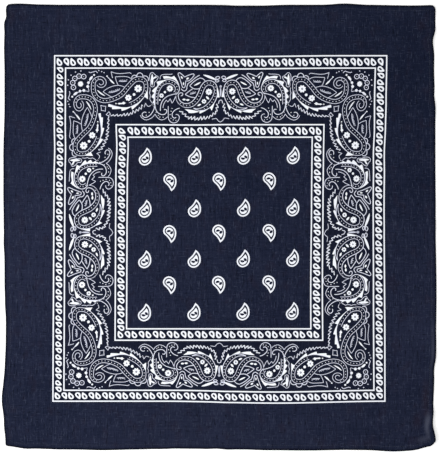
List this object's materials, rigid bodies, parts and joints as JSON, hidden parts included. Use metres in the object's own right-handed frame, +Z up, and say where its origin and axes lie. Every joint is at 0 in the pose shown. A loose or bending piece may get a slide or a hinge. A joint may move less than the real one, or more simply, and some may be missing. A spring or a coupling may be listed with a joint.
{
  "type": "bandana",
  "caption": "Square cotton bandana laid out flat, with turned hems, a soft cross of packing folds, small buckles along its edges and one curled corner.",
  "frame": {"origin": "middle of the cloth's bounding box, on the table it lies on", "axes": "+Z up out of the printed face, +X to the cloth's right edge, +Y to its top edge"},
  "size_m": [0.5448, 0.5608, 0.0071],
  "materials": {
    "navy_cotton": "plain woven cotton, dyed navy, matte",
    "white_print": "white printed ground on the woven cotton, matte",
    "navy_thread": "cotton sewing thread, matte"
  },
  "bodies": {
    "root": {"panel": "navy_cotton", "hem_top": "navy_cotton", "hem_bottom": "navy_cotton", "hem_left": "navy_cotton", "hem_right": "navy_cotton"}
  },
  "joints": []
}
